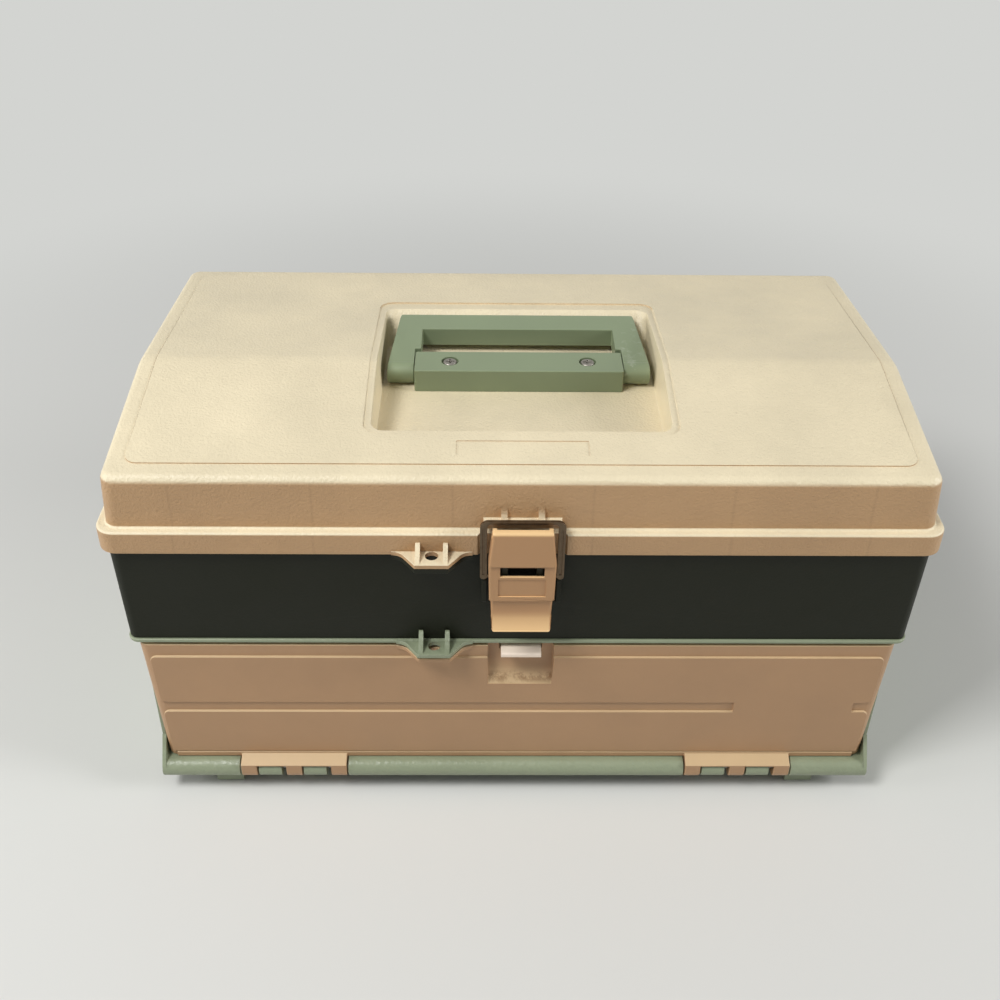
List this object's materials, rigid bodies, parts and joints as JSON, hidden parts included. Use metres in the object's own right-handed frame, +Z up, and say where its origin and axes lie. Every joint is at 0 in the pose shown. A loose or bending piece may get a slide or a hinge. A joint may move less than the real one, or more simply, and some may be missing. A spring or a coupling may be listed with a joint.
{
  "type": "tackle box",
  "caption": "Tackle box with a hinged lid and folding handle, a draw latch, and a drop-down front door that covers stacked drawers.",
  "frame": {"origin": "centre of the footprint, at the level of the table under the feet", "axes": "+X across the box to the right seen from the front, +Y from the front to the back, +Z up"},
  "size_m": [0.46, 0.2888, 0.2478],
  "materials": {
    "tan_plastic": "fine pebbled grain, lightly scuffed",
    "sage_plastic": "satin moulded",
    "olive_plastic": "pebbled grain",
    "cream_plastic": "smooth moulded",
    "clear_plastic": "smooth translucent",
    "zinc_steel": "zinc plated, dulled"
  },
  "bodies": {
    "case": {"upper_tub": "olive_plastic", "rim_lock_tab": "olive_plastic", "tub_screws": "zinc_steel", "lid_hinge_pins": "zinc_steel", "cabinet_shell": "sage_plastic", "base_tray": "sage_plastic", "cabinet_lock_tab": "sage_plastic", "door_hinge_pins": "zinc_steel", "latch_pin": "zinc_steel", "catch_pin": "zinc_steel"},
    "lid": {"lid_shell": "tan_plastic", "lid_lock_tab": "tan_plastic", "handle_bracket": "sage_plastic", "handle_screws": "zinc_steel", "handle_nuts": "zinc_steel"},
    "handle": {"handle_grip": "sage_plastic"},
    "latch": {"latch_lever": "tan_plastic"},
    "bail": {"latch_bail": "zinc_steel"},
    "door": {"front_door": "tan_plastic", "door_lock_tab": "tan_plastic"},
    "catch": {"door_catch": "cream_plastic"},
    "drawer_bottom": {"drawer_bottom": "cream_plastic", "dividers_bottom": "clear_plastic"},
    "drawer_middle": {"drawer_middle": "cream_plastic", "dividers_middle": "clear_plastic"},
    "drawer_top": {"drawer_top": "cream_plastic", "dividers_top": "clear_plastic"}
  },
  "joints": [
    {"name": "lid_hinge", "type": "hinge", "parent": "case", "child": "lid", "pos_m": [0, 0.1398, 0.1845], "axis": [-1, 0, 0], "range_deg": [0, 105]},
    {"name": "handle_fold", "type": "hinge", "parent": "lid", "child": "handle", "pos_m": [0, -0.0052, 0.2291], "axis": [1, 0, 0], "range_deg": [0, 100]},
    {"name": "latch_lever", "type": "hinge", "parent": "case", "child": "latch", "pos_m": [0, -0.1382, 0.2065], "axis": [-1, 0, 0], "range_deg": [0, 110]},
    {"name": "bail_swing", "type": "hinge", "parent": "latch", "child": "bail", "pos_m": [0, -0.1344, 0.176], "axis": [-1, 0, 0], "range_deg": [-110, 0]},
    {"name": "door_hinge", "type": "hinge", "parent": "case", "child": "door", "pos_m": [0, -0.129, 0.0182], "axis": [1, 0, 0], "range_deg": [0, 92]},
    {"name": "catch_lift", "type": "hinge", "parent": "case", "child": "catch", "pos_m": [0.001, -0.1176, 0.1164], "axis": [-1, 0, 0], "range_deg": [0, 10], "stiffness_Nm_per_rad": 0.02},
    {"name": "drawer_bottom_slide", "type": "slide", "parent": "case", "child": "drawer_bottom", "axis": [0, -1, 0], "range_m": [0, 0.0236]},
    {"name": "drawer_middle_slide", "type": "slide", "parent": "case", "child": "drawer_middle", "axis": [0, -1, 0], "range_m": [0, 0.0742]},
    {"name": "drawer_top_slide", "type": "slide", "parent": "case", "child": "drawer_top", "axis": [0, -1, 0], "range_m": [0, 0.1191]}
  ],
  "couplings": [
    {"joint": "bail_swing", "follows": "latch_lever", "ratio": -1},
    {"joint": "drawer_bottom_slide", "follows": "door_hinge", "m_per_rad": 0.0145},
    {"joint": "drawer_middle_slide", "follows": "door_hinge", "m_per_rad": 0.046},
    {"joint": "drawer_top_slide", "follows": "door_hinge", "m_per_rad": 0.074}
  ]
}
